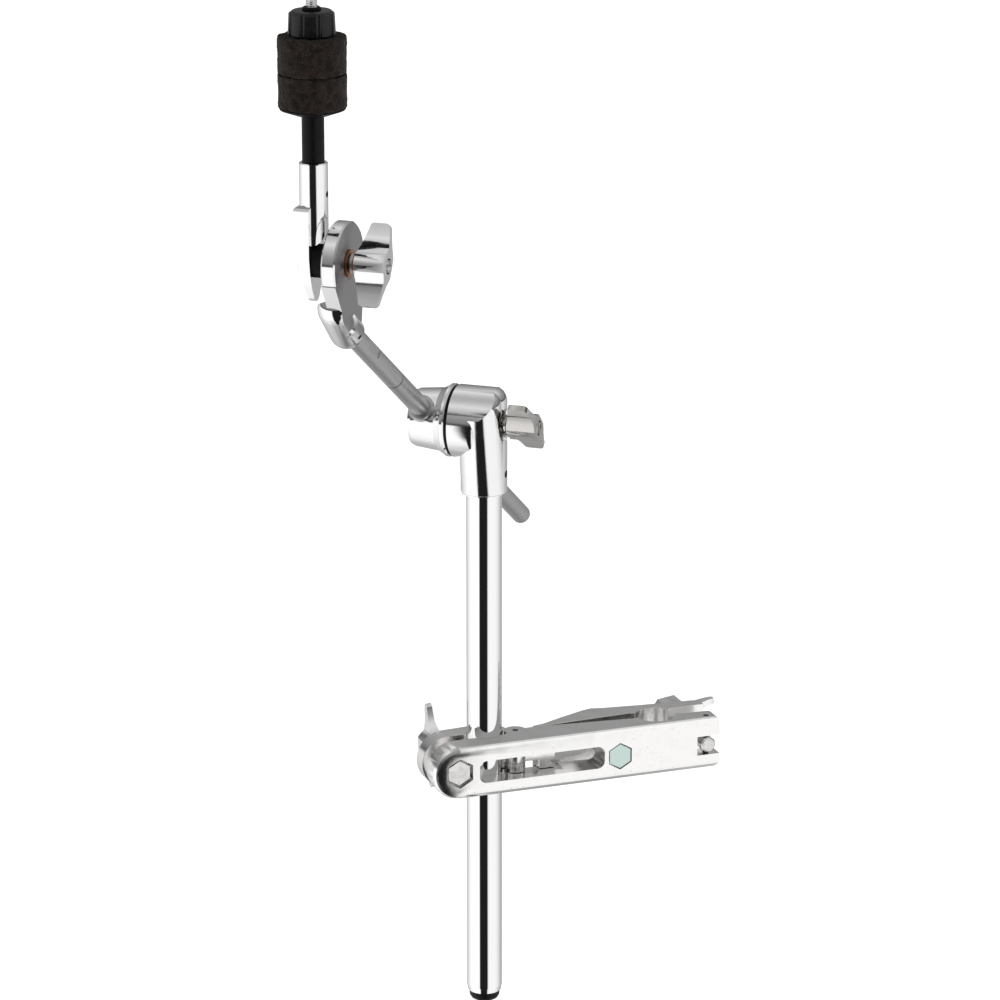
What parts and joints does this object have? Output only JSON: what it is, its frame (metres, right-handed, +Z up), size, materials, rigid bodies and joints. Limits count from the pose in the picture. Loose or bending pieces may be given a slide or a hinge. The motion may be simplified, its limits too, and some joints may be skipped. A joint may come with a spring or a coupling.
{
  "type": "cymbal boom stand",
  "caption": "Short boom cymbal holder: hinged tube clamp, plain tube, boom joint with sliding rod, tilter and a cymbal post with felts, sleeve and quick nut.",
  "frame": {"origin": "centre of the seat that grips the stand tube, halfway up the clamp castings", "axes": "+X along the clamp from the seat towards the swing bolt, +Y from the front casting towards the wing nuts, +Z up along the stand tube, the holder's tube and the cymbal post"},
  "size_m": [0.2827, 0.2452, 0.5741],
  "materials": {
    "cast_chrome": "plated die casting, slightly dull",
    "mirror_chrome": "mirror",
    "steel": "satin plated",
    "pale_bolt": "satin, pale green tint",
    "dark_steel": "dark satin",
    "copper": "dull copper",
    "black_washer": "matte",
    "black_plastic": "fine moulded grain",
    "felt": "dense wool felt"
  },
  "bodies": {
    "clamp": {"front_arm": "cast_chrome", "holder_bolt": "steel", "stop_bolt": "pale_bolt", "stop_nut": "steel", "hinge_pin": "dark_steel", "swing_pin": "dark_steel"},
    "swing_bolt": {"swing_bolt": "steel"},
    "swing_nut": {"swing_washer": "steel", "swing_wing_nut": "cast_chrome"},
    "rear_arm": {"rear_arm": "cast_chrome"},
    "holder_jaw": {"holder_jaw": "cast_chrome"},
    "holder_washer": {"holder_washer": "steel"},
    "holder_nut": {"holder_wing_nut": "cast_chrome"},
    "tube_slide": {"tube_cap": "black_plastic"},
    "tube": {"tube": "mirror_chrome", "housing": "mirror_chrome", "housing_screw": "dark_steel", "clutch_washer": "black_washer", "nut_seat": "dark_steel"},
    "eye": {"boom_eye": "mirror_chrome", "pull_bolt": "steel"},
    "boom_nut": {"boom_wing_nut": "mirror_chrome"},
    "bush": {"rod_bush": "steel"},
    "boom": {"boom_rod": "steel", "tilter_base": "mirror_chrome", "neck_pin": "dark_steel", "tilter_washer": "copper"},
    "post": {"friction_hub": "black_washer", "tilter_top": "mirror_chrome", "tilter_bolt": "steel", "post_screw": "dark_steel", "cymbal_stem": "steel", "sleeve": "black_plastic", "felt_seat": "black_plastic"},
    "tilter_nut": {"tilter_wing_nut": "mirror_chrome"},
    "lower_felt": {"lower_felt": "felt"},
    "upper_felt": {"upper_felt": "felt"},
    "quick_core": {"quick_core": "black_plastic"},
    "knob": {"knob_shell": "black_plastic"}
  },
  "joints": [
    {"name": "bolt_swing", "type": "hinge", "parent": "clamp", "child": "swing_bolt", "pos_m": [0.0253, -0.0104, 0], "axis": [0, 0, -1], "range_deg": [0, 125]},
    {"name": "swing_nut_spin", "type": "hinge", "parent": "swing_bolt", "child": "swing_nut", "pos_m": [0.0253, 0.03, -0.0012], "axis": [0, 1, 0], "continuous": true},
    {"name": "arm_open", "type": "hinge", "parent": "clamp", "child": "rear_arm", "pos_m": [-0.0804, 0.0028, 0], "axis": [0, 0, 1], "range_deg": [0, 11.6]},
    {"name": "nut_travel", "type": "slide", "parent": "clamp", "child": "holder_washer", "axis": [0, 1, 0], "range_m": [0, 0.003]},
    {"name": "jaw_open", "type": "hinge", "parent": "clamp", "child": "holder_jaw", "pos_m": [-0.0804, 0.0028, 0], "axis": [0, 0, -1], "range_deg": [0, 3.44]},
    {"name": "holder_nut_spin", "type": "hinge", "parent": "holder_washer", "child": "holder_nut", "pos_m": [-0.118, 0.03, 0], "axis": [0, 1, 0], "continuous": true},
    {"name": "tube_height", "type": "slide", "parent": "clamp", "child": "tube_slide", "axis": [0, 0, 1], "range_m": [-0.01, 0.1]},
    {"name": "tube_swivel", "type": "hinge", "parent": "tube_slide", "child": "tube", "pos_m": [-0.0974, 0.005, 0], "axis": [0, 0, 1], "continuous": true},
    {"name": "boom_pitch", "type": "hinge", "parent": "tube", "child": "eye", "pos_m": [-0.0974, 0.005, 0.188], "axis": [-0.7771, 0.6293, 0], "range_deg": [-35, 12]},
    {"name": "boom_nut_spin", "type": "hinge", "parent": "eye", "child": "boom_nut", "pos_m": [-0.0974, 0.005, 0.188], "axis": [0.7771, -0.6293, 0], "continuous": true},
    {"name": "rod_spin", "type": "hinge", "parent": "eye", "child": "bush", "pos_m": [-0.12071, 0.02388, 0.188], "axis": [-0.5278, -0.6518, 0.5446], "range_deg": [-45, 45]},
    {"name": "boom_slide", "type": "slide", "parent": "bush", "child": "boom", "axis": [-0.5278, -0.6518, 0.5446], "range_m": [-0.01, 0.1]},
    {"name": "tilt", "type": "hinge", "parent": "boom", "child": "post", "pos_m": [-0.20178, -0.07814, 0.3033], "axis": [0.7771, -0.6293, 0], "range_deg": [-60, 60]},
    {"name": "tilter_nut_spin", "type": "hinge", "parent": "post", "child": "tilter_nut", "pos_m": [-0.20178, -0.07814, 0.3033], "axis": [0.7771, -0.6293, 0], "continuous": true},
    {"name": "knob_lift", "type": "slide", "parent": "post", "child": "quick_core", "axis": [0, 0, 1], "range_m": [0, 0.065]},
    {"name": "upper_felt_lift", "type": "slide", "parent": "post", "child": "upper_felt", "axis": [0, 0, 1], "range_m": [0, 0.0423]},
    {"name": "lower_felt_lift", "type": "slide", "parent": "post", "child": "lower_felt", "axis": [0, 0, 1], "range_m": [0, 0.0196]},
    {"name": "knob_spin", "type": "hinge", "parent": "quick_core", "child": "knob", "pos_m": [-0.21328, -0.06882, 0.42], "axis": [0, 0, 1], "continuous": true}
  ],
  "couplings": [
    {"joint": "arm_open", "follows": "bolt_swing", "ratio": 0.0925},
    {"joint": "jaw_open", "follows": "nut_travel", "rad_per_m": 20},
    {"joint": "upper_felt_lift", "follows": "knob_lift", "ratio": 0.65},
    {"joint": "lower_felt_lift", "follows": "knob_lift", "ratio": 0.3}
  ]
}
